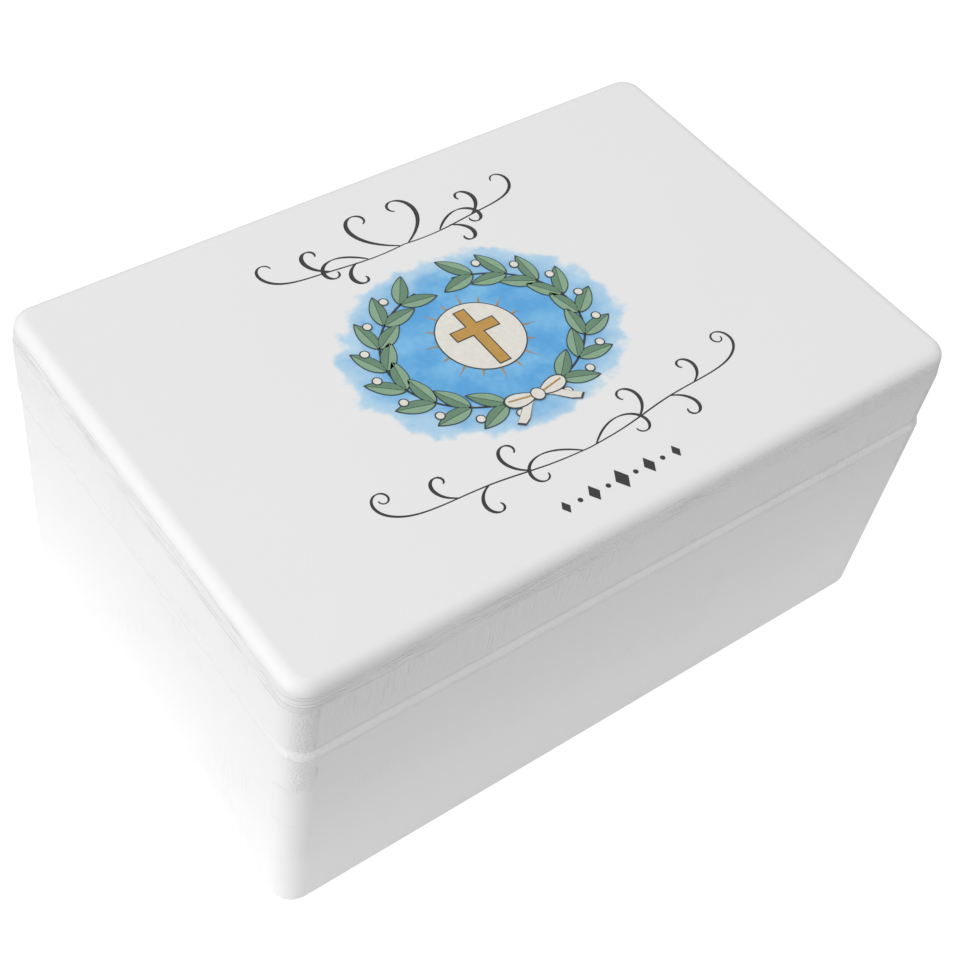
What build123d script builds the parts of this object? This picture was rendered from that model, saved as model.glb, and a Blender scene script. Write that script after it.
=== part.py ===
from build123d import *
from math import acos, atan2, degrees, hypot
import os

# A keepsake box of white-painted wood. The base is four solid-wood boards, finger-jointed at
# the corners and glued on a plywood bottom. The lid is a low frame of the same boards under a
# plywood top, and turns on two small butt hinges let into the back. X runs along the length,
# Y from front to back and Z up, from the middle of the underside.

os.makedirs("parts", exist_ok=True)

# ---- outer form ----
box_length = 300.0
box_depth = 197.0
base_height = 107.0  # underside to rim
lid_height = 34.8  # lower edge of the lid to its top
rim_gap = 0.2  # hairline between the rim and the closed lid
lid_setback = 1.5  # the lid is hung this far behind the base

# ---- boards ----
wall = 10.0
top_panel_thickness = 12.0
bottom_panel_thickness = 4.0

# ---- routed and sanded edges ----
corner_round = 10.0
rim_round = 5.0
top_round = 5.2
bottom_round = 3.8
edge_lean = 8.0  # degrees that the top panel's sanded edge leans inward
inner_break = 0.6  # inner edges of the rim and of the lid's lower edge

# ---- finger joints, counted from the rim ----
finger_pitch = 24.0
least_finger = 3.0  # a last finger lower than this joins the one before it

# ---- hinges ----
hinge_length = 30.0
hinge_inset = 55.0  # end of the box to the middle of each hinge
leaf_thickness = 0.8
leaf_end_wood = 0.9  # wood left between a leaf's end and the inside of the lid's rail
pin_diameter = 1.6
pin_play = 0.05  # all round, so that the knuckles turn
knuckle_count = 3
knuckle_play = 0.2  # between one knuckle and the next
roll_gap = 0.25  # where the end of each roll stops short of its leaf
axis_inset = 0.6  # pin line to the base's back face
seat_play = 0.2  # round a leaf in its housing
barrel_room = 0.3  # round the knuckles in their channel

# ---- hinge screws ----
screw_length = 10.0
screw_diameter = 2.0
screw_head_diameter = 3.6
screw_play = 0.05
screw_spacing = 18.0
recess_width = 0.5
recess_span = 2.0
recess_depth = 0.4

# ---- places worked out from the sizes above ----
half_length = box_length / 2
half_depth = box_depth / 2
inner_x = half_length - wall
inner_y = half_depth - wall
beyond = wall  # how far a cutting block runs past the surface it cuts
lid_z = base_height + rim_gap
top_z = lid_z + lid_height
top_panel_z = top_z - top_panel_thickness
axis_y = half_depth - axis_inset
axis_z = base_height + rim_gap / 2
bore_r = pin_diameter / 2 + pin_play
barrel_r = bore_r + leaf_thickness
leaf_end_y = inner_y + lid_setback + leaf_end_wood
leaf_root_y = axis_y - barrel_r - barrel_room  # the flat of a leaf ends here
leaf_face_z = axis_z - bore_r  # upper face of the base leaf
screw_y = (leaf_end_y + leaf_root_y) / 2
screw_r = screw_diameter / 2
screw_head_r = screw_head_diameter / 2
screw_head_height = screw_head_r - screw_r


def block(x, y, z):
    """A plain block between three (low, high) pairs."""
    middle = [(low + high) / 2 for low, high in (x, y, z)]
    size = [high - low for low, high in (x, y, z)]
    return Pos(*middle) * Box(*size)


def rod(radius, length, x_middle):
    """A round bar along the hinge line."""
    return Pos(x_middle, axis_y, axis_z) * Rot(0, 90, 0) * Cylinder(radius, length)


def mirrored_to_lid(shape):
    """The lid's leaf and screws face the base's across the pin line."""
    return mirror(shape, about=Plane.XY.offset(axis_z))


# ---- wooden parts ----
def routed_form(low_z, high_z, setback, top_r, bottom_r=0.0, leaning=0.0):
    """Outer form of one glued-up half, its edges rounded and its top part leaning inward."""
    outline = Pos(0, setback, low_z) * RectangleRounded(box_length, box_depth, corner_round)
    form = extrude(outline, high_z - low_z - leaning)
    if leaning > 0:
        form += extrude(form.faces().sort_by(Axis.Z)[-1], leaning, taper=edge_lean)
    form = fillet(form.faces().sort_by(Axis.Z)[-1].edges(), top_r)
    if bottom_r > 0:
        form = fillet(form.faces().sort_by(Axis.Z)[0].edges(), bottom_r)
    return form


def layer(form, low_z, high_z):
    """The part of a form between two heights."""
    reach_x = half_length + beyond
    reach_y = half_depth + beyond
    return form & block((-reach_x, reach_x), (-reach_y, reach_y), (low_z, high_z))


def frame_ring(form, setback, low_z, high_z, free_end):
    """The four boards as one glued ring; free_end is -1 where its top is free and 0 its underside."""
    hollow_y = (setback - inner_y, setback + inner_y)
    hollow = block((-inner_x, inner_x), hollow_y, (low_z - beyond, high_z + beyond))
    ring = layer(form, low_z, high_z) - hollow
    free_face = ring.faces().filter_by(Axis.Z).sort_by(Axis.Z)[free_end]
    return fillet(free_face.inner_wires()[0].edges(), inner_break)


def finger_levels(rim, end):
    """Heights of the fingers from the rim to the panel: (low, high, whether a short board's)."""
    step = finger_pitch if end > rim else -finger_pitch
    levels = []
    start = rim
    of_short_board = True
    while start != end:
        last = abs(end - start) < finger_pitch + least_finger
        stop = end if last else start + step
        levels.append((min(start, stop), max(start, stop), of_short_board))
        of_short_board = not of_short_board
        start = stop
    return levels


def boards(ring, setback, levels):
    """Divides a ring along its finger joints into the front, back, left and right boards."""
    low_z = min(low for low, high, of_short_board in levels)
    high_z = max(high for low, high, of_short_board in levels)
    reach_x = (-half_length - beyond, half_length + beyond)
    reach_y = (setback - half_depth - beyond, setback + half_depth + beyond)
    strips = {
        "front": (reach_x, (reach_y[0], setback - inner_y)),
        "back": (reach_x, (setback + inner_y, reach_y[1])),
        "left": ((reach_x[0], -inner_x), reach_y),
        "right": ((inner_x, reach_x[1]), reach_y),
    }
    divided = {}
    for side, (x, y) in strips.items():
        short_board = side in ("left", "right")
        if short_board:
            room = block(x, (setback - inner_y, setback + inner_y), (low_z, high_z))
        else:
            room = block((-inner_x, inner_x), y, (low_z, high_z))
        for low, high, of_short_board in levels:
            if of_short_board == short_board:
                room += block(x, y, (low, high))
        divided[side] = ring & room
    return divided


# ---- hinge hardware ----
def turned(*outline):
    """A round solid turned from an outline of (radius, height) points beside the Z axis."""
    return revolve(make_face(Plane.XZ * Polyline(*outline, close=True)), Axis.Z)


def hinge_screw():
    """A countersunk screw with a plain shank, its flat head at Z = 0 and a cross recess in it."""
    screw = turned(
        (0, 0),
        (screw_head_r, 0),
        (screw_r, -screw_head_height),
        (screw_r, -screw_length),
        (0, -screw_length),
    )
    half_span = recess_span / 2
    half_width = recess_width / 2
    depth = (-recess_depth, recess_depth)
    slot_x = block((-half_span, half_span), (-half_width, half_width), depth)
    slot_y = block((-half_width, half_width), (-half_span, half_span), depth)
    return screw - (slot_x + slot_y)


def screw_hole():
    """The countersunk hole that takes one screw, its mouth at Z = 0."""
    floor_z = -screw_length - screw_play
    return turned(
        (0, 0),
        (screw_head_r + screw_play, 0),
        (screw_r + screw_play, -screw_head_height),
        (screw_r + screw_play, floor_z),
        (0, floor_z),
    )


def screw_places(x_middle):
    """Where the two screws of a leaf stand, with their heads level with its upper face."""
    offsets = (-screw_spacing / 2, screw_spacing / 2)
    return [Pos(x_middle + offset, screw_y, leaf_face_z) for offset in offsets]


def hinge_leaf(x_middle, first_knuckle):
    """A flat plate rolled at its back edge into every second knuckle, as it lies on the base."""
    start = x_middle - hinge_length / 2
    length = (start, start + hinge_length)
    under_z = axis_z - barrel_r
    plate = block(length, (leaf_end_y, axis_y), (under_z, leaf_face_z))
    roll = rod(barrel_r, hinge_length, x_middle) - rod(bore_r, hinge_length + beyond, x_middle)
    leaf = plate + roll
    slit_y = (axis_y - barrel_r - beyond, axis_y - roll_gap)
    leaf -= block(length, slit_y, (leaf_face_z, leaf_face_z + roll_gap))
    knuckle = hinge_length / knuckle_count
    for number in range(1 - first_knuckle, knuckle_count, 2):
        low = start + number * knuckle - knuckle_play / 2
        high = start + (number + 1) * knuckle + knuckle_play / 2
        gap_z = (axis_z - barrel_r - barrel_room, axis_z + barrel_r + barrel_room)
        leaf -= block((low, high), (leaf_root_y, axis_y + barrel_r + barrel_room), gap_z)
    for place in screw_places(x_middle):
        leaf -= place * screw_hole()
    return leaf


def hinge_pin(x_middle):
    """The pin, cut level with the ends of the leaves."""
    return rod(pin_diameter / 2, hinge_length, x_middle)


def hinge_seat(x_middle):
    """What is cut from the rim and the lid's lower edge for one hinge, screws included."""
    half = hinge_length / 2 + seat_play
    along = (x_middle - half, x_middle + half)
    back_y = half_depth + lid_setback + beyond
    housing = block(along, (leaf_end_y - seat_play, back_y), (axis_z - barrel_r, axis_z + barrel_r))
    seat = housing + rod(barrel_r + barrel_room, 2 * half, x_middle)
    for place in screw_places(x_middle):
        hole = place * screw_hole()
        seat += hole
        seat += mirrored_to_lid(hole)
    return seat


def lid_stop_angle():
    """How far the lid opens before its lower back edge bears on the rounded rim."""
    edge_out = lid_setback + axis_inset
    edge_up = rim_gap / 2
    centre_in = rim_round - axis_inset
    centre_down = rim_round + rim_gap / 2
    swing = hypot(edge_out, edge_up)
    reach = hypot(centre_in, centre_down)
    if swing + rim_round <= reach:
        return 180.0
    half_angle = acos((swing**2 + reach**2 - rim_round**2) / (2 * swing * reach))
    return degrees(atan2(centre_down, -centre_in) - half_angle + atan2(edge_up, edge_out))


# ---- the box put together ----
pieces = {}

base_form = routed_form(0.0, base_height, 0.0, rim_round, bottom_round)
base_ring = frame_ring(base_form, 0.0, bottom_panel_thickness, base_height, -1)
lid_form = routed_form(lid_z, top_z, lid_setback, top_round, leaning=top_panel_thickness)
lid_ring = frame_ring(lid_form, lid_setback, lid_z, top_panel_z, 0)

hinge_places = {"left": hinge_inset - half_length, "right": half_length - hinge_inset}
for hinge_x in hinge_places.values():
    base_ring -= hinge_seat(hinge_x)
    lid_ring -= hinge_seat(hinge_x)

base_levels = finger_levels(base_height, bottom_panel_thickness)
lid_levels = finger_levels(lid_z, top_panel_z)
for side, board in boards(base_ring, 0.0, base_levels).items():
    pieces[f"{side}_wall"] = board
for side, board in boards(lid_ring, lid_setback, lid_levels).items():
    pieces[f"lid_{side}_rail"] = board
pieces["bottom_panel"] = layer(base_form, 0.0, bottom_panel_thickness)
pieces["lid_top_panel"] = layer(lid_form, top_panel_z, top_z)

for side, hinge_x in hinge_places.items():
    base_screws = [place * hinge_screw() for place in screw_places(hinge_x)]
    lid_screws = [mirrored_to_lid(screw) for screw in base_screws]
    pieces[f"{side}_hinge_base_leaf"] = hinge_leaf(hinge_x, 0)
    pieces[f"{side}_hinge_lid_leaf"] = mirrored_to_lid(hinge_leaf(hinge_x, 1))
    pieces[f"{side}_hinge_pin"] = hinge_pin(hinge_x)
    pieces[f"{side}_hinge_base_screws"] = Compound(base_screws)
    pieces[f"{side}_hinge_lid_screws"] = Compound(lid_screws)

for name, piece in pieces.items():
    export_step(piece, f"parts/{name}.step")

print(f"{len(pieces)} nodes, {box_length} x {box_depth + lid_setback} x {top_z} mm over all")
print(f"barrel {2 * barrel_r:.2f} mm, leaf {axis_y - leaf_end_y:.2f} mm from the pin line")
print(f"the lid meets the rounded rim at {lid_stop_angle():.1f} degrees")
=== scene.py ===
import math

import bpy
from bpy.props import FloatProperty, FloatVectorProperty, PointerProperty
from mathutils import Matrix, Vector


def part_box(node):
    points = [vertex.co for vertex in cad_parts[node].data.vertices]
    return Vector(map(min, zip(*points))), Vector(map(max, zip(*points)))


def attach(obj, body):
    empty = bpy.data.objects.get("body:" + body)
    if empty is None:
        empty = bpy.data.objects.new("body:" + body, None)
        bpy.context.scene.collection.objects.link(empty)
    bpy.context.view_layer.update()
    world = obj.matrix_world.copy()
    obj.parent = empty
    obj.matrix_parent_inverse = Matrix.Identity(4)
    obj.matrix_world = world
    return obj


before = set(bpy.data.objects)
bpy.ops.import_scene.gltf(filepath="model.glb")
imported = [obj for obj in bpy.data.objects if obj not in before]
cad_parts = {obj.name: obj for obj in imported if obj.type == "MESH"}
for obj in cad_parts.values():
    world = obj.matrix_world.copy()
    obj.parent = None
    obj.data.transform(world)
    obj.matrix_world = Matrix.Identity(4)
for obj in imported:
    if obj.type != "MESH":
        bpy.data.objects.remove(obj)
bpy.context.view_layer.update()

# The looks of a keepsake box of white-painted wood: brushed satin paint over finger-jointed
# boards and plywood, small brass hinges, and a printed design on the lid. X runs along the
# length, Y from front to back and Z up, in metres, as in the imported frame.

bl_info = {
    "name": "Painted keepsake box",
    "version": (1, 0, 0),
    "blender": (4, 5, 0),
    "location": "View3D > Sidebar > Keepsake box",
    "description": "Finishes, printed lid design and studio of a white-painted keepsake box",
    "category": "Object",
}

MM = 0.001

# ---- sizes read from the frame, in millimetres ----
base_low, base_high = (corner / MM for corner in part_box("front_wall"))
lid_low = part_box("lid_front_rail")[0] / MM
panel_low, panel_high = (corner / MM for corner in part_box("lid_top_panel"))
half_length = base_high.x
rim_z = base_high.z
lid_z = lid_low.z
top_z = panel_high.z
base_front_y = base_low.y
lid_front_y = lid_low.y
lid_middle_y = (panel_low.y + panel_high.y) / 2

LONG_BOARDS = {"base": ("front_wall", "back_wall"), "lid": ("lid_front_rail", "lid_back_rail")}
SHORT_BOARDS = {"base": ("left_wall", "right_wall"), "lid": ("lid_left_rail", "lid_right_rail")}
HINGE_SIDES = ("left", "right")


# ---- sizes and colours that a user would change ----
def length(name, description, millimetres):
    """A length property, given in millimetres and held in metres."""
    return FloatProperty(
        name=name, description=description, default=millimetres * MM, unit="LENGTH", precision=5
    )


def colour(name, description, *rgb):
    """A colour property."""
    return FloatVectorProperty(
        name=name, description=description, default=rgb, size=3, subtype="COLOR", min=0.0, max=1.0
    )


def share(name, description, value):
    """A plain number between 0 and 1."""
    return FloatProperty(
        name=name, description=description, default=value, min=0.0, max=1.0, subtype="FACTOR"
    )


def angle(name, description, degrees):
    """An angle property, given in degrees."""
    return FloatProperty(
        name=name, description=description, default=math.radians(degrees), unit="ROTATION"
    )


class BoardPaint(bpy.types.PropertyGroup):
    """White paint on the boards and panels, and what shows through it."""

    white: colour("White", "Colour of the paint", 0.86, 0.86, 0.86)
    roughness: share("Roughness", "How matt the paint is", 0.5)
    board: length("Board", "Thickness of the boards", 10.0)
    finger: length("Finger", "Height of one finger of the corner joints", 24.0)
    stroke_width: length("Stroke width", "Width of one brush stroke", 0.9)
    stroke_length: length("Stroke length", "Length of one brush stroke", 13.0)
    stroke_height: length("Stroke height", "Relief of the brush strokes", 0.5)
    nib_height: length("Nib height", "Relief of the paint's fine texture", 0.02)
    pore_width: length("Pore width", "Grain of the end wood", 0.8)
    pore_height: length("Pore height", "Relief of the end wood under the paint", 0.7)
    seam_width: length("Seam width", "Width of the hairline at a glued joint", 0.5)
    seam_depth: length("Seam depth", "Depth of the hairline at a glued joint", 0.2)
    ply: length("Ply", "Spacing of the ply lines at the sanded edge", 1.3)
    ply_length: length("Ply length", "Length of one ply line", 22.0)
    ply_height: length("Ply height", "Relief of the ply lines", 1.1)


class LidPrint(bpy.types.PropertyGroup):
    """The printed design on the lid: a wash of colour, a laurel wreath, a cross and scrolls."""

    middle: FloatVectorProperty(
        name="Middle", description="Middle of the coloured wash", size=2,
        default=(-5.0 * MM, 0.0), subtype="TRANSLATION", unit="LENGTH",
    )
    wash_length: length("Wash length", "Length of the wash along the lid", 118.0)
    wash_depth: length("Wash depth", "Depth of the wash across the lid", 93.0)
    wash: colour("Wash", "Middle tone of the wash", 0.085, 0.375, 0.74)
    wash_light: colour("Light wash", "Thin places of the wash", 0.2, 0.52, 0.83)
    wash_edge: colour("Wash edge", "Pale rim of the wash", 0.5, 0.71, 0.87)
    leaf_length: length("Leaf length", "Length of one laurel leaf", 16.0)
    leaf_width: length("Leaf width", "Width of one laurel leaf", 6.6)
    leaf: colour("Leaf", "Light half of a leaf", 0.25, 0.42, 0.27)
    leaf_shade: colour("Leaf shade", "Dark half of a leaf", 0.13, 0.26, 0.16)
    outline: colour("Outline", "Fine lines round the motifs", 0.022, 0.03, 0.032)
    outline_width: length("Outline width", "Width of the fine lines", 0.5)
    cream: colour("Cream", "Ribbon, berries and disc", 0.86, 0.83, 0.76)
    gold: colour("Gold", "Cross, rays and stripe", 0.56, 0.31, 0.06)
    ink: colour("Ink", "The pen scrolls", 0.012, 0.012, 0.013)
    film: length("Film", "Thickness of the printed film", 0.05)


class HingeMetal(bpy.types.PropertyGroup):
    """Brass plate and steel of the hinges and their screws."""

    brass: colour("Brass", "Colour of the leaves and knuckles", 0.78, 0.57, 0.26)
    screw: colour("Screw", "Colour of the screws", 0.74, 0.53, 0.24)
    steel: colour("Steel", "Colour of the pins", 0.58, 0.58, 0.57)
    roughness: share("Roughness", "How dull the metal is", 0.3)


class Studio(bpy.types.PropertyGroup):
    """Camera, floor and lights."""

    camera_place: FloatVectorProperty(
        name="Camera place",
        description="Where the camera stands",
        default=(-0.310961, -0.316955, 0.570762),
        subtype="TRANSLATION",
        unit="LENGTH",
    )
    camera_turn: FloatVectorProperty(
        name="Camera turn",
        description="How the camera is turned",
        default=[math.radians(angle) for angle in (38.848, -5.048, -35.015)],
        subtype="EULER",
        unit="ROTATION",
    )
    lens: FloatProperty(name="Lens", description="Focal length in millimetres", default=62.0)
    shift_x: FloatProperty(
        name="Shift X", description="Sideways shift of the picture", default=0.0833
    )
    shift_y: FloatProperty(
        name="Shift Y", description="Upward shift of the picture", default=0.0417
    )
    sky: FloatProperty(name="Sky", description="Strength of the even light", default=0.645)
    lamp_size: length("Lamp size", "Width of each large lamp", 1200.0)
    lamp_distance: length("Lamp distance", "From the box to each lamp", 2000.0)
    side_power: FloatProperty(
        name="Side power", description="Power of the lamp on the left", default=17.0, unit="POWER"
    )
    side_height: angle("Side height", "Height of the left lamp above the horizon", 15.0)
    top_power: FloatProperty(
        name="Top power", description="Power of the lamp overhead", default=7.1, unit="POWER"
    )
    top_height: angle("Top height", "Height of the upper lamp above the horizon", 85.0)
    lamp_turn: angle("Lamp turn", "Bearing of both lamps from the front", -95.0)
    floor_size: length("Floor size", "Side of the floor", 6000.0)
    floor: share("Floor", "Brightness of the floor next to the box, as the box sees it", 0.92)
    floor_far: share("Far floor", "Brightness of the floor away from the box", 0.1)
    floor_near_edge: length("Near edge", "Where the floor starts to darken", 30.0)
    floor_far_edge: length("Far edge", "Where the floor is darkest", 420.0)
    floor_seen: share("Floor seen", "Colour of the floor as the camera sees it", 0.3)
    floor_glow: FloatProperty(
        name="Floor glow",
        description="White added to the floor as the camera sees it",
        default=0.86,
    )


# ---- zones of the finishes, in millimetres from an outer face, the rim or the top ----
END_GRAIN = (6.5, 1.5)  # from an outer face: end grain starts and is full
JOINT_LINE = (2.0, 0.5)  # from an outer face: a joint's hairline starts and is full
OUTSIDE = (6.0, 5.0)  # from an outer face: sanding marks start and are full
TOP_FINGER = (25.0, 22.0)  # below the rim: the end grain is rougher above this
OPEN_JOINT = 10.0  # below the rim: a joint's hairline is full above this
SAND_LINE = 4.9  # below the rim: lower edge of the hand-sanded band
SAND_REACH = 2.4  # height over which the sanding dies out
PLY_ZONE = (5.0, 3.4)  # below the top: ply lines are full and end
TORN_ZONE = (3.4, 1.6)  # below the top: torn wood is full and ends
BOTTOM_ZONE = (0.3, 1.0)  # above the table: the bottom's ply lines start and are full
WASH_ZONE = (1.0, 0.5)  # below the top: the wash starts and is full


# ---- finishes ----
class Strand:
    """One value of a finish. Arithmetic on it adds Math nodes to that finish."""

    def __init__(self, finish, socket):
        self.finish = finish
        self.socket = socket

    def math(self, operation, *others):
        values = dict(enumerate((self, *others)))
        return self.finish.node("ShaderNodeMath", {"operation": operation}, values)

    def __add__(self, other):
        return self.math("ADD", other)

    def __radd__(self, other):
        return self.math("ADD", other)

    def __sub__(self, other):
        return self.math("SUBTRACT", other)

    def __rsub__(self, other):
        return self.finish.value(other).math("SUBTRACT", self)

    def __mul__(self, other):
        return self.math("MULTIPLY", other)

    def __rmul__(self, other):
        return self.math("MULTIPLY", other)

    def __truediv__(self, other):
        return self.math("DIVIDE", other)

    def __rtruediv__(self, other):
        return self.finish.value(other).math("DIVIDE", self)

    def __abs__(self):
        return self.math("ABSOLUTE")

    def at_least(self, other):
        return self.math("MAXIMUM", other)

    def at_most(self, other):
        return self.math("MINIMUM", other)

    def rise(self, start, end):
        """0 up to start and 1 past end, with a smooth step between them."""
        return self.finish.node(
            "ShaderNodeMapRange",
            {"interpolation_type": "SMOOTHSTEP"},
            {"Value": self, "From Min": start, "From Max": end},
        )


class Finish:
    """A material in the making. Its place() is in millimetres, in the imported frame."""

    def __init__(self, name):
        self.material = bpy.data.materials.new(name)
        self.material.use_nodes = True
        self.tree = self.material.node_tree
        self.shader = self.tree.nodes["Principled BSDF"]
        self.coordinates = None

    def node(self, kind, settings=None, sockets=None, output=0):
        """Adds a node: its settings first, then the value or link of each named socket."""
        made = self.tree.nodes.new(kind)
        for name, value in (settings or {}).items():
            setattr(made, name, value)
        for name, value in (sockets or {}).items():
            self.feed(made.inputs[name], value)
        return Strand(self, made.outputs[output])

    def feed(self, socket, value):
        """Links a strand to a socket, or sets a plain value on it."""
        if isinstance(value, Strand):
            self.tree.links.new(value.socket, socket)
        else:
            socket.default_value = value

    def value(self, number):
        made = self.node("ShaderNodeValue")
        made.socket.default_value = number
        return made

    def place(self):
        """The x, y and z of the surface, in millimetres."""
        if self.coordinates is None:
            point = self.node("ShaderNodeTexCoord", output="Object")
            self.coordinates = tuple(
                self.node("ShaderNodeSeparateXYZ", None, {0: point}, axis) / MM for axis in "XYZ"
            )
        return self.coordinates

    def cloud(self, size, detail=2.0, shift=0.0):
        """Even noise about 0 whose lumps have the given (x, y, z) size in millimetres."""
        spread = [axis / reach + shift for axis, reach in zip(self.place(), size)]
        point = self.node("ShaderNodeCombineXYZ", None, dict(enumerate(spread)))
        sockets = {"Vector": point, "Scale": 1.0, "Detail": detail, "Roughness": 0.5}
        return self.node("ShaderNodeTexNoise", None, sockets, "Fac") - 0.5

    def blend(self, amount, first, second):
        """A colour between two colours."""
        sockets = {0: amount, 6: as_colour(first), 7: as_colour(second)}
        return self.node("ShaderNodeMix", {"data_type": "RGBA"}, sockets, 2)

    def relief(self, height):
        """Drives the normal from a height in millimetres."""
        sockets = {"Height": height, "Distance": MM, "Strength": 1.0}
        bump = self.node("ShaderNodeBump", None, sockets)
        self.feed(self.shader.inputs["Normal"], bump)

    def set(self, **values):
        """Sets the shader's own sockets: base_color is Base Color, and so on."""
        for name, value in values.items():
            socket = self.shader.inputs[name.replace("_", " ").title()]
            self.feed(socket, as_colour(value) if socket.type == "RGBA" else value)


def as_colour(value):
    """A plain colour with its alpha, or a strand as it is."""
    return value if isinstance(value, Strand) else (*value[:3], 1.0)


def inward(distance, face, zone):
    """0 inside the board and 1 at its outer face, from the distance to the middle."""
    return distance.rise(face - zone[0], face - zone[1])


def line(distance, width):
    """1 on a line and 0 beside it, from the distance to it."""
    return 1.0 - abs(distance).rise(width / 4, width)


def brushed(finish, paint, patch):
    """Faint upright brush strokes and the fine texture of the paint, in millimetres."""
    width = paint.stroke_width / MM
    strokes = finish.cloud((width, width, paint.stroke_length / MM), 1.0)
    nibs = finish.cloud((1.1, 1.1, 1.1), 2.0, 7.3)
    patches = (finish.cloud((38.0, 38.0, 26.0), 1.0, 3.1) + patch).rise(-0.05, 0.2)
    return strokes * patches * (paint.stroke_height / MM) + nibs * (paint.nib_height / MM)


def board_finish(name, paint, lid, short):
    """Painted board: strokes on its side, pores on its ends, and grooved hairlines at its joints
    with painted shade.
    """
    finish = Finish(name)
    x, y, z = finish.place()
    if lid:
        y = y - lid_middle_y
    half_depth = lid_middle_y - lid_front_y if lid else -base_front_y
    board = paint.board / MM
    across_x, across_y = abs(x), abs(y)
    level = (z - lid_z if lid else rim_z - z) / (paint.finger / MM)
    of_long = level.math("FLOOR").math("MODULO", 2.0)
    of_short = 1.0 - of_long

    ends = inward(across_y, half_depth, END_GRAIN) if short else inward(
        across_x, half_length, END_GRAIN
    )
    pore = paint.pore_width / MM
    rough = finish.cloud((pore, pore, pore), 2.0, 1.7)
    worn = 1.0
    if not lid:
        worn = finish.cloud((9.0, 9.0, 16.0), 1.0, 5.9).rise(-0.1, 0.15) * 0.4 + 0.1
        worn = worn + inward(z, rim_z, TOP_FINGER) * 0.5

    seam = paint.seam_width / MM
    on_front = inward(across_y, half_depth, JOINT_LINE)
    on_side = inward(across_x, half_length, JOINT_LINE)
    upright = line(across_x - (half_length - board), seam) * on_front * of_short
    upright = upright + line(across_y - (half_depth - board), seam) * on_side * of_long
    corner = across_x.rise(half_length - board - 0.1, half_length - board)
    corner = corner * across_y.rise(half_depth - board - 0.1, half_depth - board)
    nearest = (level - level.math("ROUND")) * (paint.finger / MM)
    flat = line(nearest, seam) * corner * level.rise(0.5, 0.51)
    filled = finish.cloud((6.0, 6.0, 9.0), 2.0, 9.7).rise(-0.1, 0.14)
    if not lid:
        filled = filled * z.rise(rim_z - 4 * paint.finger / MM, rim_z - OPEN_JOINT)
    # Hairline mask at the joints: it cuts a real groove in the relief and also drives painted
    # shade in the colour.
    seam_groove_and_shade = (upright + flat).at_most(1.0) * filled

    height = brushed(finish, paint, 0.12 if lid else -0.02) * (1.0 - ends)
    height = height + rough * ends * worn * (paint.pore_height / MM)
    height = height - seam_groove_and_shade * (paint.seam_depth / MM)
    if not lid:
        outside = inward(across_x, half_length, OUTSIDE)
        outside = outside.at_least(inward(across_y, half_depth, OUTSIDE))
        sand_line = finish.cloud((6.0, 6.0, 60.0), 2.0, 14.2) * 2.4 + (rim_z - SAND_LINE)
        worn_off = (z - sand_line).at_least(0.0).at_most(SAND_REACH)
        height = height - (worn_off * 0.8 - worn_off * worn_off * 0.13) * outside
    finish.relief(height)
    shade = finish.cloud((30.0, 30.0, 30.0), 2.0, 4.4) * 0.012 + 0.994
    # Painted shade: the colour is darkened along the joint hairlines, as shade in their grooves.
    shade = shade - seam_groove_and_shade * 0.05
    white = finish.node(
        "ShaderNodeVectorMath", {"operation": "SCALE"}, {0: tuple(paint.white), "Scale": shade}
    )
    finish.set(base_color=white, roughness=paint.roughness + ends * 0.12)
    return finish.material


def panel_finish(name, paint, top, design=None):
    """Painted plywood: a plain face, with its plies showing as fine lines round the edge."""
    finish = Finish(name)
    x, y, z = finish.place()
    spread, ply = paint.ply_length / MM, paint.ply / MM
    plies = finish.cloud((spread, spread, ply / 2), 1.0, 2.2)
    rough = finish.cloud((0.9, 0.9, 0.9), 2.0, 8.1)
    if top:
        edge = 1.0 - inward(z, top_z, PLY_ZONE)
        torn = 1.0 - inward(z, top_z, TORN_ZONE)
    else:
        edge = z.rise(*BOTTOM_ZONE) * 0.25
        torn = edge
    sanded = (finish.cloud((40.0, 40.0, 9.0), 1.0, 6.4) + x * -0.0012).rise(-0.12, 0.1)
    height = brushed(finish, paint, -0.3)
    height = height + plies * edge * (0.3 + 0.7 * sanded) * (paint.ply_height / MM)
    height = height + rough * torn * (1.15 - sanded) * 0.5
    specks = finish.cloud((1.3, 1.3, 1.3), 0.0, 12.5).rise(0.27, 0.33)
    height = height + specks * 0.03
    finish.relief(height)
    shade = finish.cloud((45.0, 45.0, 45.0), 2.0, 4.4) * 0.012 + 0.994
    tone = finish.node(
        "ShaderNodeVectorMath", {"operation": "SCALE"}, {0: tuple(paint.white), "Scale": shade}
    )
    if design:
        tone = washed(finish, tone, design)
    finish.set(base_color=tone, roughness=paint.roughness + edge * 0.06)
    return finish.material


def washed(finish, tone, design):
    """The tone with an oval wash of watercolour in the middle of the lid."""
    x, y, z = finish.place()
    along = (x - design.middle[0] / MM) / (design.wash_length / MM / 2)
    across = (y - design.middle[1] / MM) / (design.wash_depth / MM / 2)
    reach = (along * along + across * across).math("SQRT")
    ragged = finish.cloud((9.0, 9.0, 9.0), 3.0, 21.0) * 0.28
    pooled = finish.cloud((22.0, 14.0, 20.0), 3.0, 17.0)
    fine = finish.cloud((2.5, 2.5, 2.5), 2.0, 11.0)
    thin = (pooled * 2.2 + fine * 0.5 + 0.42).rise(0.1, 0.9)
    blue = finish.blend(thin, design.wash, design.wash_light)
    pale = (reach + ragged * 1.6).rise(0.62, 1.0)
    blue = finish.blend(pale, blue, design.wash_edge)
    inside = (1.0 - (reach + ragged).rise(0.93, 1.0)) * inward(z, top_z, WASH_ZONE)
    return finish.blend(inside, tone, blue)


# size of the scratches along X, Y and Z, and their depth, in millimetres
LEAF_SCRATCH = ((9.0, 0.12, 0.12), 0.004)
SCREW_SCRATCH = ((0.2, 0.2, 0.2), 0.003)
PIN_SCRATCH = ((12.0, 0.1, 0.1), 0.003)


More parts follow.
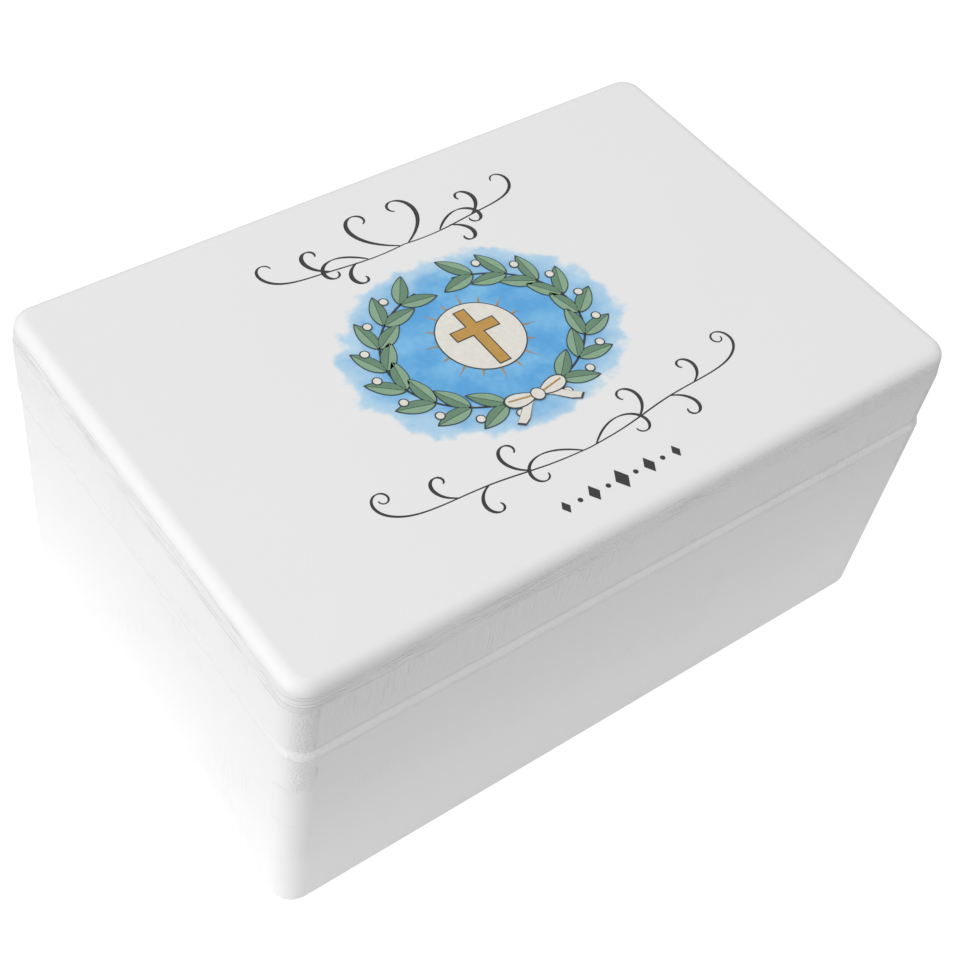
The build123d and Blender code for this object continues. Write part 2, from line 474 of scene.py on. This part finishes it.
def metal_finish(name, rgb, roughness, grain, scratch):
    """Plated or drawn metal with fine scratches of the given (x, y, z) size in millimetres."""
    finish = Finish(name)
    scratches = finish.cloud(grain, 3.0, 1.3)
    dull = finish.cloud((4.0, 4.0, 4.0), 2.0, 5.5)
    finish.relief(scratches * scratch)
    tone = finish.blend(dull + 0.5, [part * 0.86 for part in rgb], rgb)
    finish.set(base_color=tone, roughness=roughness + dull * 0.22 + scratches * 0.1, metallic=1.0)
    return finish.material


def dress(node, material):
    """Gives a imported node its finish."""
    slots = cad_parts[node].material_slots
    for slot in slots:
        slot.link = "OBJECT"
        slot.material = material


class PaintBoards(bpy.types.Operator):
    """Paint the eight boards of the base and the lid"""

    bl_idname = "keepsake.paint_boards"
    bl_label = "Paint boards"

    def execute(self, context):
        paint = context.scene.keepsake_paint
        for body in ("base", "lid"):
            long_grain = board_finish(f"painted_{body}_long_board", paint, body == "lid", False)
            short_grain = board_finish(f"painted_{body}_short_board", paint, body == "lid", True)
            for node in LONG_BOARDS[body]:
                dress(node, long_grain)
            for node in SHORT_BOARDS[body]:
                dress(node, short_grain)
        return {"FINISHED"}


class PaintPanels(bpy.types.Operator):
    """Paint the plywood top and bottom"""

    bl_idname = "keepsake.paint_panels"
    bl_label = "Paint panels"

    def execute(self, context):
        paint = context.scene.keepsake_paint
        design = context.scene.keepsake_print
        dress("lid_top_panel", panel_finish("painted_plywood_top", paint, True, design))
        dress("bottom_panel", panel_finish("painted_plywood_bottom", paint, False))
        return {"FINISHED"}


class PlateHinges(bpy.types.Operator):
    """Plate the hinge leaves and screws with brass, and leave the pins steel"""

    bl_idname = "keepsake.plate_hinges"
    bl_label = "Plate hinges"

    def execute(self, context):
        metal = context.scene.keepsake_metal
        dull = metal.roughness
        brass = metal_finish("hinge_brass_plate", metal.brass, dull, *LEAF_SCRATCH)
        screw = metal_finish("screw_brass_plate", metal.screw, dull, *SCREW_SCRATCH)
        steel = metal_finish("pin_drawn_steel", metal.steel, dull, *PIN_SCRATCH)
        for side in HINGE_SIDES:
            dress(f"{side}_hinge_base_leaf", brass)
            dress(f"{side}_hinge_lid_leaf", brass)
            dress(f"{side}_hinge_pin", steel)
            dress(f"{side}_hinge_base_screws", screw)
            dress(f"{side}_hinge_lid_screws", screw)
        return {"FINISHED"}


# ---- printed design, in millimetres ----
# start, heading in degrees, length, and bends in degrees per millimetre of each stroke
UPPER_SCROLLS = (
    ((0, -7), -5, 74, (0.2, 0.7, 0.2, -0.3, 1.6, 8, 24)),
    ((2, -6.9), 28, 40, (1.2, 2.2, 5, 11, 26)),
    ((17, -7.0), 42, 34, (-1, -3, -7, -14, -30)),
    ((33, -5.9), 24, 24, (3, 6, 13, 32)),
    ((22, -6.7), -20, 20, (-3, -8, -16, -36)),
)
LOWER_SCROLLS = (
    ((0, -3), 3, 104, (-0.2, 0.5, 0.1, -0.5, -0.1, 0.7, 3.5, 14, 34)),
    ((3, -2.8), 38, 38, (-1, -2.5, -5, -12, -26)),
    ((24, -1.0), 25, 26, (3, 6, 13, 30)),
    ((41, 1.6), -16, 22, (-4, -7, -15, -34)),
    ((54, 2.4), 24, 21, (4, 8, 16, 38)),
)


UPPER_MIDDLE, UPPER_PEN = (-1.0, 63.5), (0.5, 1.9)  # and the pen's thin and thick widths
LOWER_MIDDLE, LOWER_PEN = (-4.5, -59.5), (0.5, 1.5)
DIAMOND_MIDDLE = (-4.0, -79.5)
DIAMOND_PITCH = 12.5
DIAMOND_HALF = 4.6  # half height of the middle one
DIAMOND_STEP = 0.9  # how much lower each next one is
DIAMOND_SLIM = 0.62  # width for each height
DOT_RADIUS = 1.0
RIBBON_TAIL = (
    (1.0, -0.5), (5.0, -3.0), (9.5, -7.6), (12.5, -9.2),
    (14.8, -7.4), (11.5, -4.8), (7.0, -0.9), (2.0, 1.0),
)


def deselect_all():
    """Leaves nothing selected, so that an operator acts only on what it adds."""
    bpy.ops.object.select_all(action="DESELECT")


def print_tone(name, rgb):
    """A printed colour, a little uneven like ink on paint. Each is made once and shared."""
    if name in bpy.data.materials:
        return bpy.data.materials[name]
    finish = Finish(name)
    uneven = finish.cloud((2.0, 2.0, 2.0), 3.0, 3.3) * 1.6 + 0.5
    tone = finish.blend(uneven.at_least(0.0).at_most(1.0), [part * 0.85 for part in rgb], rgb)
    finish.set(base_color=tone, roughness=0.5)
    return finish.material


def joined(parts):
    """One object of several parts."""
    deselect_all()
    for part in parts:
        part.select_set(True)
    bpy.context.view_layer.objects.active = parts[0]
    bpy.ops.object.join()
    return bpy.context.object


def finish_print(parts, name):
    """Joins printed parts into one named piece that rides on the lid."""
    piece = joined(parts)
    piece.name = name
    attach(piece, "lid")


def patch(design, points, level, material):
    """A flat printed patch with the given outline in millimetres, on the film of its level."""
    deselect_all()
    bpy.ops.mesh.primitive_circle_add(
        vertices=len(points), fill_type="NGON", location=(0, 0, 0)
    )
    made = bpy.context.object
    for vertex, (x, y) in zip(made.data.vertices, points):
        vertex.co = (x * MM, y * MM, top_z * MM + level * design.film)
    made.data.materials.append(material)
    return made


def oval(middle, half_x, half_y, count):
    """The outline of an oval."""
    turns = [2 * math.pi * number / count for number in range(count)]
    return [(middle[0] + half_x * math.cos(a), middle[1] + half_y * math.sin(a)) for a in turns]


def pen_stroke(design, points, widths, level, material):
    """A printed line through points, of the given widths, all in millimetres."""
    deselect_all()
    bpy.ops.curve.primitive_nurbs_path_add(location=(0, 0, 0))
    made = bpy.context.object
    curve = made.data
    curve.twist_mode = "Z_UP"
    curve.bevel_depth = MM / 2
    curve.bevel_resolution = 0
    curve.resolution_u = 1
    spline = curve.splines[0]
    spline.points.add(len(points) - len(spline.points))
    spline.type = "POLY"
    for knot, (x, y), width in zip(spline.points, points, widths):
        knot.co = (x * MM, y * MM, 0.0, 1.0)
        knot.radius = width
    bpy.ops.object.convert(target="MESH")
    made = bpy.context.object
    flat = Matrix.Diagonal((1.0, 1.0, design.film / MM / max(widths), 1.0))
    middle_z = top_z * MM + (level - 0.4) * design.film
    made.data.transform(flat)
    made.data.transform(Matrix.Translation((0, 0, middle_z)))
    made.data.materials.clear()
    made.data.materials.append(material)
    return made


def swash(start, heading, reach, bends):
    """Points (x, y, heading) along a stroke whose bend in degrees per mm runs through bends."""
    x, y = start
    count = max(12, int(reach))
    step = reach / count
    heading = math.radians(heading)
    points = [(x, y, heading)]
    for number in range(count):
        t = (number + 0.5) / count * (len(bends) - 1)
        first = min(int(t), len(bends) - 2)
        bend = math.radians(bends[first] + (bends[first + 1] - bends[first]) * (t - first))
        heading += bend * step / 2
        x += math.cos(heading) * step
        y += math.sin(heading) * step
        heading += bend * step / 2
        points.append((x, y, heading))
    return points


class PrintLaurel(bpy.types.Operator):
    """Print the laurel wreath and its ribbon bow"""

    bl_idname = "keepsake.print_laurel"
    bl_label = "Print laurel"

    HALF_X, HALF_Y = 41, 32.5  # half axes of the stem's oval
    LOWEST, SWEEP = -80, 158  # degrees where the stem starts, and how far it goes round
    STEM_WIDTH = 0.9
    PAIRS = 8
    SPREADS = (-34, 30)  # degrees of the outer and the inner leaf from the stem
    BERRY = 1.5
    BERRY_OUT, BERRY_BACK = 5.6, 2.6  # from the foot of each pair of leaves
    BOW_BELOW = 33.0  # middle of the wash to the bow's knot

    def execute(self, context):
        design = context.scene.keepsake_print
        dark = print_tone("print_outline", design.outline)
        light = print_tone("print_leaf", design.leaf)
        shade = print_tone("print_leaf_shade", design.leaf_shade)
        cream = print_tone("print_cream", design.cream)
        gold = print_tone("print_gold", design.gold)
        middle = [part / MM for part in design.middle]
        parts = []
        for side in (1, -1):
            stem = [self.on_stem(middle, side, number / 40)[:2] for number in range(41)]
            parts.append(pen_stroke(design, stem, [self.STEM_WIDTH] * len(stem), 1, dark))
        leaf = self.leaf(design, dark, light, shade)
        for side in (1, -1):
            for number in range(self.PAIRS):
                x, y, heading = self.on_stem(middle, side, (number + 0.35) / self.PAIRS)
                foot = Matrix.Translation((x * MM, y * MM, 0))
                for spread in self.SPREADS:
                    turn = Matrix.Rotation(heading + side * math.radians(spread), 4, "Z")
                    if side * spread < 0:
                        turn = turn @ Matrix.Diagonal((1, -1, 1, 1))
                    parts.append(self.copy(leaf, foot @ turn))
                out = heading - side * math.pi / 2
                x += self.BERRY_OUT * math.cos(out) - self.BERRY_BACK * math.cos(heading)
                y += self.BERRY_OUT * math.sin(out) - self.BERRY_BACK * math.sin(heading)
                rim = self.BERRY + 0.5
                parts.append(patch(design, oval((x, y), rim, rim, 20), 5, dark))
                parts.append(patch(design, oval((x, y), self.BERRY, self.BERRY, 20), 6, cream))
        bpy.data.objects.remove(leaf)
        finish_print(parts, "print_laurel")
        finish_print(self.bow(design, middle, dark, cream, gold), "print_ribbon")
        return {"FINISHED"}

    def on_stem(self, middle, side, t):
        """A point of the wreath's stem and the way it grows, from the bow at 0 up to 1."""
        angle_up = math.radians(self.LOWEST + self.SWEEP * t)
        x, y = self.HALF_X * math.cos(angle_up), self.HALF_Y * math.sin(angle_up)
        heading = math.atan2(self.HALF_Y * math.cos(angle_up), -self.HALF_X * math.sin(angle_up))
        if side < 0:
            heading = math.pi - heading
        return middle[0] + side * x, middle[1] + y, heading

    def leaf(self, design, dark, light, shade):
        """One leaf along X from the origin, with a dark outline and a light and a dark half."""
        reach, wide = design.leaf_length / MM, design.leaf_width / MM / 2
        rim = design.outline_width / MM
        steps = 14
        rib = 0.12  # half width of the line between the halves

        def edge(first, last, half):
            """One edge of the leaf, from stalk to tip."""
            return [
                (
                    first + (last - first) * number / steps,
                    half * math.sin(math.pi * (number / steps) ** 0.85) ** 0.8,
                )
                for number in range(steps + 1)
            ]

        outer = edge(0, reach, wide)
        inner = edge(rim * 1.6, reach - rim * 2, wide - rim)
        whole = outer + [(x, -y) for x, y in reversed(outer[1:-1])]
        return joined(
            [
                patch(design, whole, 3, dark),
                patch(design, [(x, y + rib) for x, y in inner], 4, light),
                patch(design, [(x, -y - rib) for x, y in inner], 4, shade),
            ]
        )

    def copy(self, leaf, place):
        """A copy of the leaf with its own mesh."""
        deselect_all()
        leaf.select_set(True)
        bpy.context.view_layer.objects.active = leaf
        bpy.ops.object.duplicate()
        made = bpy.context.object
        made.data.transform(place)
        return made

    def bow(self, design, middle, dark, cream, gold):
        """A flat ribbon bow under the wreath."""
        parts = []
        x0, y0 = middle[0], middle[1] - self.BOW_BELOW
        for side in (1, -1):
            for shape, level in ((RIBBON_TAIL, 7), (self.loop(), 9)):
                placed = [(x0 + side * x, y0 + y) for x, y in shape]
                wide = self.grown(placed, design.outline_width / MM)
                parts.append(patch(design, wide, level, dark))
                parts.append(patch(design, placed, level + 1, cream))
            stripe = [
                (x0 + side * (1.5 + 10.5 * t), y0 + 0.2 + 1.9 * t) for t in (0, 0.25, 0.5, 0.75, 1)
            ]
            parts.append(pen_stroke(design, stripe, [0.7] * len(stripe), 11, gold))
        parts.append(patch(design, oval((x0, y0), 2.9, 3.1, 24), 11, dark))
        parts.append(patch(design, oval((x0, y0), 2.4, 2.6, 24), 12, cream))
        return parts

    def loop(self):
        """The outline of the bow's right loop, from its knot at the origin."""
        spots = []
        for number in range(28):
            turn = 2 * math.pi * number / 28
            along = 6.6 * (1 - math.cos(turn))
            spots.append((along, 3.9 * math.sin(turn) * (along / 13.2) ** 0.45 + along * 0.12))
        return spots

    def grown(self, outline, rim):
        """The outline made larger about its middle, to stand out as a dark rim."""
        mid_x, mid_y = (sum(spot[axis] for spot in outline) / len(outline) for axis in (0, 1))
        half = max(math.hypot(x - mid_x, y - mid_y) for x, y in outline)
        grow = 1 + rim / half * 1.5
        return [
            (mid_x + (x - mid_x) * grow, mid_y + (y - mid_y) * (grow + 0.06)) for x, y in outline
        ]


class PrintCross(bpy.types.Operator):
    """Print the cross on its disc with rays"""

    bl_idname = "keepsake.print_cross"
    bl_label = "Print cross"

    ABOVE = 1.5  # middle of the wash to the middle of the disc
    DISC = 17
    RAYS = 16
    RAY_STEPS, RAY_ENDS = (16.0, 17.5, 19.0, 20.0), (20.8, 22.8)
    RAY_WIDTHS = (0.9, 0.85, 0.7, 0.5, 0.15)

    def execute(self, context):
        design = context.scene.keepsake_print
        dark = print_tone("print_outline", design.outline)
        cream = print_tone("print_cream", design.cream)
        gold = print_tone("print_gold", design.gold)
        rim = design.outline_width / MM
        x0, y0 = (part / MM for part in design.middle)
        y0 += self.ABOVE
        parts = []
        for number in range(self.RAYS):
            turn = 2 * math.pi * (number + 0.5) / self.RAYS
            ray = [
                (x0 + reach * math.cos(turn), y0 + reach * math.sin(turn))
                for reach in (*self.RAY_STEPS, self.RAY_ENDS[number % 2])
            ]
            parts.append(pen_stroke(design, ray, self.RAY_WIDTHS, 1, gold))
        wide = self.DISC + rim
        parts.append(patch(design, oval((x0, y0), wide, wide, 72), 2, dark))
        parts.append(patch(design, oval((x0, y0), self.DISC, self.DISC, 72), 3, cream))
        for grow, level, tone in ((rim, 4, dark), (0.0, 5, gold)):
            parts.append(patch(design, self.cross(x0, y0 - 0.5, grow), level, tone))
        finish_print(parts, "print_cross")
        return {"FINISHED"}

    def cross(self, x0, y0, grow):
        """The outline of a Latin cross."""
        bar, arm, top, foot = 2.2 + grow, 9.5 + grow, 14.5 + grow, 14.5 + grow
        high, low = 6.4 + grow, 2.0 - grow
        right = [(bar, -foot), (bar, low), (arm, low), (arm, high), (bar, high), (bar, top)]
        left = [(-x, y) for x, y in reversed(right)]
        return [(x0 + x, y0 + y) for x, y in right + left]


class PrintScrolls(bpy.types.Operator):
    """Print the pen scrolls above and below the wreath, and the row of diamonds"""

    bl_idname = "keepsake.print_scrolls"
    bl_label = "Print scrolls"

    def execute(self, context):
        design = context.scene.keepsake_print
        ink = print_tone("print_ink", design.ink)
        upper = self.scrolls(design, ink, UPPER_SCROLLS, UPPER_MIDDLE, *UPPER_PEN)
        finish_print(upper, "print_scroll_upper")
        lower = self.scrolls(design, ink, LOWER_SCROLLS, LOWER_MIDDLE, *LOWER_PEN)
        finish_print(lower, "print_scroll_lower")
        finish_print(self.diamonds(design, ink), "print_diamonds")
        return {"FINISHED"}

    def scrolls(self, design, ink, strokes, middle, thin, thick):
        """Strokes to the right and their mirror images to the left."""
        parts = []
        for start, heading, reach, bends in strokes:
            path = swash(start, heading, reach, bends)
            widths = []
            for number, (_, _, turn) in enumerate(path):
                swell = max(0.0, math.sin(math.pi * number / (len(path) - 1))) ** 0.6
                widths.append(thin + (thick - thin) * abs(math.sin(turn)) * swell)
            for side in (1, -1):
                points = [(middle[0] + side * x, middle[1] + y) for x, y, _ in path]
                parts.append(pen_stroke(design, points, widths, 1, ink))
        return parts

    def diamonds(self, design, ink):
        """Five diamonds in a row, the middle one the largest, with a dot between each two."""
        parts = []
        for number in range(-2, 3):
            x, y = DIAMOND_MIDDLE[0] + DIAMOND_PITCH * number, DIAMOND_MIDDLE[1]
            half = DIAMOND_HALF - DIAMOND_STEP * abs(number)
            slim = half * DIAMOND_SLIM
            diamond = [(x + slim, y), (x, y + half), (x - slim, y), (x, y - half)]
            parts.append(patch(design, diamond, 1, ink))
            if number < 2:
                dot = oval((x + DIAMOND_PITCH / 2, y), DOT_RADIUS, DOT_RADIUS, 20)
                parts.append(patch(design, dot, 1, ink))
        return parts


# ---- studio ----
class SetStage(bpy.types.Operator):
    """Set up the floor, the lights and the camera"""

    bl_idname = "keepsake.set_stage"
    bl_label = "Set stage"

    def execute(self, context):
        studio = context.scene.keepsake_studio
        self.lay_floor(studio)
        self.light_sky(context.scene, studio)
        self.hang_lamp(studio, "side_light", studio.side_height, studio.side_power)
        self.hang_lamp(studio, "top_light", studio.top_height, studio.top_power)
        self.stand_camera(context.scene, studio)
        context.scene.view_settings.view_transform = "Standard"
        return {"FINISHED"}

    def lay_floor(self, studio):
        """A pale floor that the camera sees white, with the soft shadow of the box on it."""
        deselect_all()
        bpy.ops.mesh.primitive_plane_add(size=studio.floor_size, location=(0, 0, -0.05 * MM))
        floor = bpy.context.object
        floor.name = "studio_floor"
        finish = Finish("studio_floor")
        x, y, z = finish.place()
        beside_x = (abs(x) - half_length).at_least(0.0)
        beside_y = (abs(y) + base_front_y).at_least(0.0)
        beside = (beside_x * beside_x + beside_y * beside_y).math("SQRT")
        away = beside.rise(studio.floor_near_edge / MM, studio.floor_far_edge / MM)
        tone = finish.blend(away, [studio.floor] * 3, [studio.floor_far] * 3)
        finish.set(base_color=tone, roughness=0.9)
        glow = finish.node("ShaderNodeEmission", None, {"Strength": studio.floor_glow})
        seen = finish.node("ShaderNodeLightPath", output="Is Camera Ray")
        lit = Strand(finish, finish.shader.outputs[0])
        plain = finish.node(
            "ShaderNodeBsdfDiffuse", None, {"Color": as_colour([studio.floor_seen] * 3)}
        )
        both = finish.node("ShaderNodeAddShader", None, {0: plain, 1: glow})
        mixed = finish.node("ShaderNodeMixShader", None, {0: seen, 1: lit, 2: both})
        finish.feed(finish.tree.nodes["Material Output"].inputs["Surface"], mixed)
        floor.data.materials.append(finish.material)

    def light_sky(self, scene, studio):
        """Even light from all round, which the camera and the metal see as white."""
        world = bpy.data.worlds.new("studio_sky")
        world.use_nodes = True
        tree = world.node_tree
        sky = tree.nodes["Background"]
        path = tree.nodes.new("ShaderNodeLightPath")
        seen = tree.nodes.new("ShaderNodeMath")
        seen.operation = "MAXIMUM"
        tree.links.new(path.outputs["Is Camera Ray"], seen.inputs[0])
        tree.links.new(path.outputs["Is Transmission Ray"], seen.inputs[1])
        seen_or_mirrored = tree.nodes.new("ShaderNodeMath")
        seen_or_mirrored.operation = "MAXIMUM"
        tree.links.new(seen.outputs[0], seen_or_mirrored.inputs[0])
        tree.links.new(path.outputs["Is Glossy Ray"], seen_or_mirrored.inputs[1])
        strength = tree.nodes.new("ShaderNodeMapRange")
        strength.inputs["To Min"].default_value = studio.sky
        strength.inputs["To Max"].default_value = 1.0
        tree.links.new(seen_or_mirrored.outputs[0], strength.inputs["Value"])
        tree.links.new(strength.outputs[0], sky.inputs["Strength"])
        sky.inputs["Color"].default_value = (1.0, 1.0, 1.0, 1.0)
        scene.world = world

    def hang_lamp(self, studio, name, height, power):
        """One large soft lamp that faces the box."""
        turn = studio.lamp_turn
        away = Vector(
            (
                math.sin(turn) * math.cos(height),
                -math.cos(turn) * math.cos(height),
                math.sin(height),
            )
        )
        middle = Vector((0.0, 0.0, top_z * MM / 2))
        deselect_all()
        bpy.ops.object.light_add(type="AREA", location=middle + away * studio.lamp_distance)
        lamp = bpy.context.object
        lamp.name = name
        lamp.data.shape = "SQUARE"
        lamp.data.size = studio.lamp_size
        lamp.data.energy = power
        lamp.rotation_euler = away.to_track_quat("Z", "Y").to_euler()

    def stand_camera(self, scene, studio):
        """The camera at the photograph's angle."""
        deselect_all()
        bpy.ops.object.camera_add(location=studio.camera_place, rotation=studio.camera_turn)
        camera = bpy.context.object
        camera.name = "camera"
        camera.data.sensor_width = 36.0
        camera.data.lens = studio.lens
        camera.data.shift_x = studio.shift_x
        camera.data.shift_y = studio.shift_y
        camera.data.clip_start = 0.01
        scene.camera = camera


OPERATORS = (
    PaintBoards, PaintPanels, PlateHinges, PrintLaurel, PrintCross, PrintScrolls, SetStage,
)


class KeepsakePanel(bpy.types.Panel):
    """The steps of the box's finish"""

    bl_idname = "VIEW3D_PT_keepsake_box"
    bl_label = "Keepsake box"
    bl_space_type = "VIEW_3D"
    bl_region_type = "UI"
    bl_category = "Keepsake box"

    def draw(self, context):
        for operator in OPERATORS:
            self.layout.operator(operator.bl_idname)


SETTINGS = {
    "keepsake_paint": BoardPaint,
    "keepsake_print": LidPrint,
    "keepsake_metal": HingeMetal,
    "keepsake_studio": Studio,
}
CLASSES = (*SETTINGS.values(), *OPERATORS, KeepsakePanel)


def register():
    for cls in CLASSES:
        bpy.utils.register_class(cls)
    for name, group in SETTINGS.items():
        setattr(bpy.types.Scene, name, PointerProperty(type=group))


def unregister():
    for name in SETTINGS:
        delattr(bpy.types.Scene, name)
    for cls in reversed(CLASSES):
        bpy.utils.unregister_class(cls)


def main():
    register()
    bpy.ops.keepsake.paint_boards()
    bpy.ops.keepsake.paint_panels()
    bpy.ops.keepsake.plate_hinges()
    bpy.ops.keepsake.print_laurel()
    bpy.ops.keepsake.print_cross()
    bpy.ops.keepsake.print_scrolls()
    bpy.ops.keepsake.set_stage()


if __name__ == "__main__":
    main()
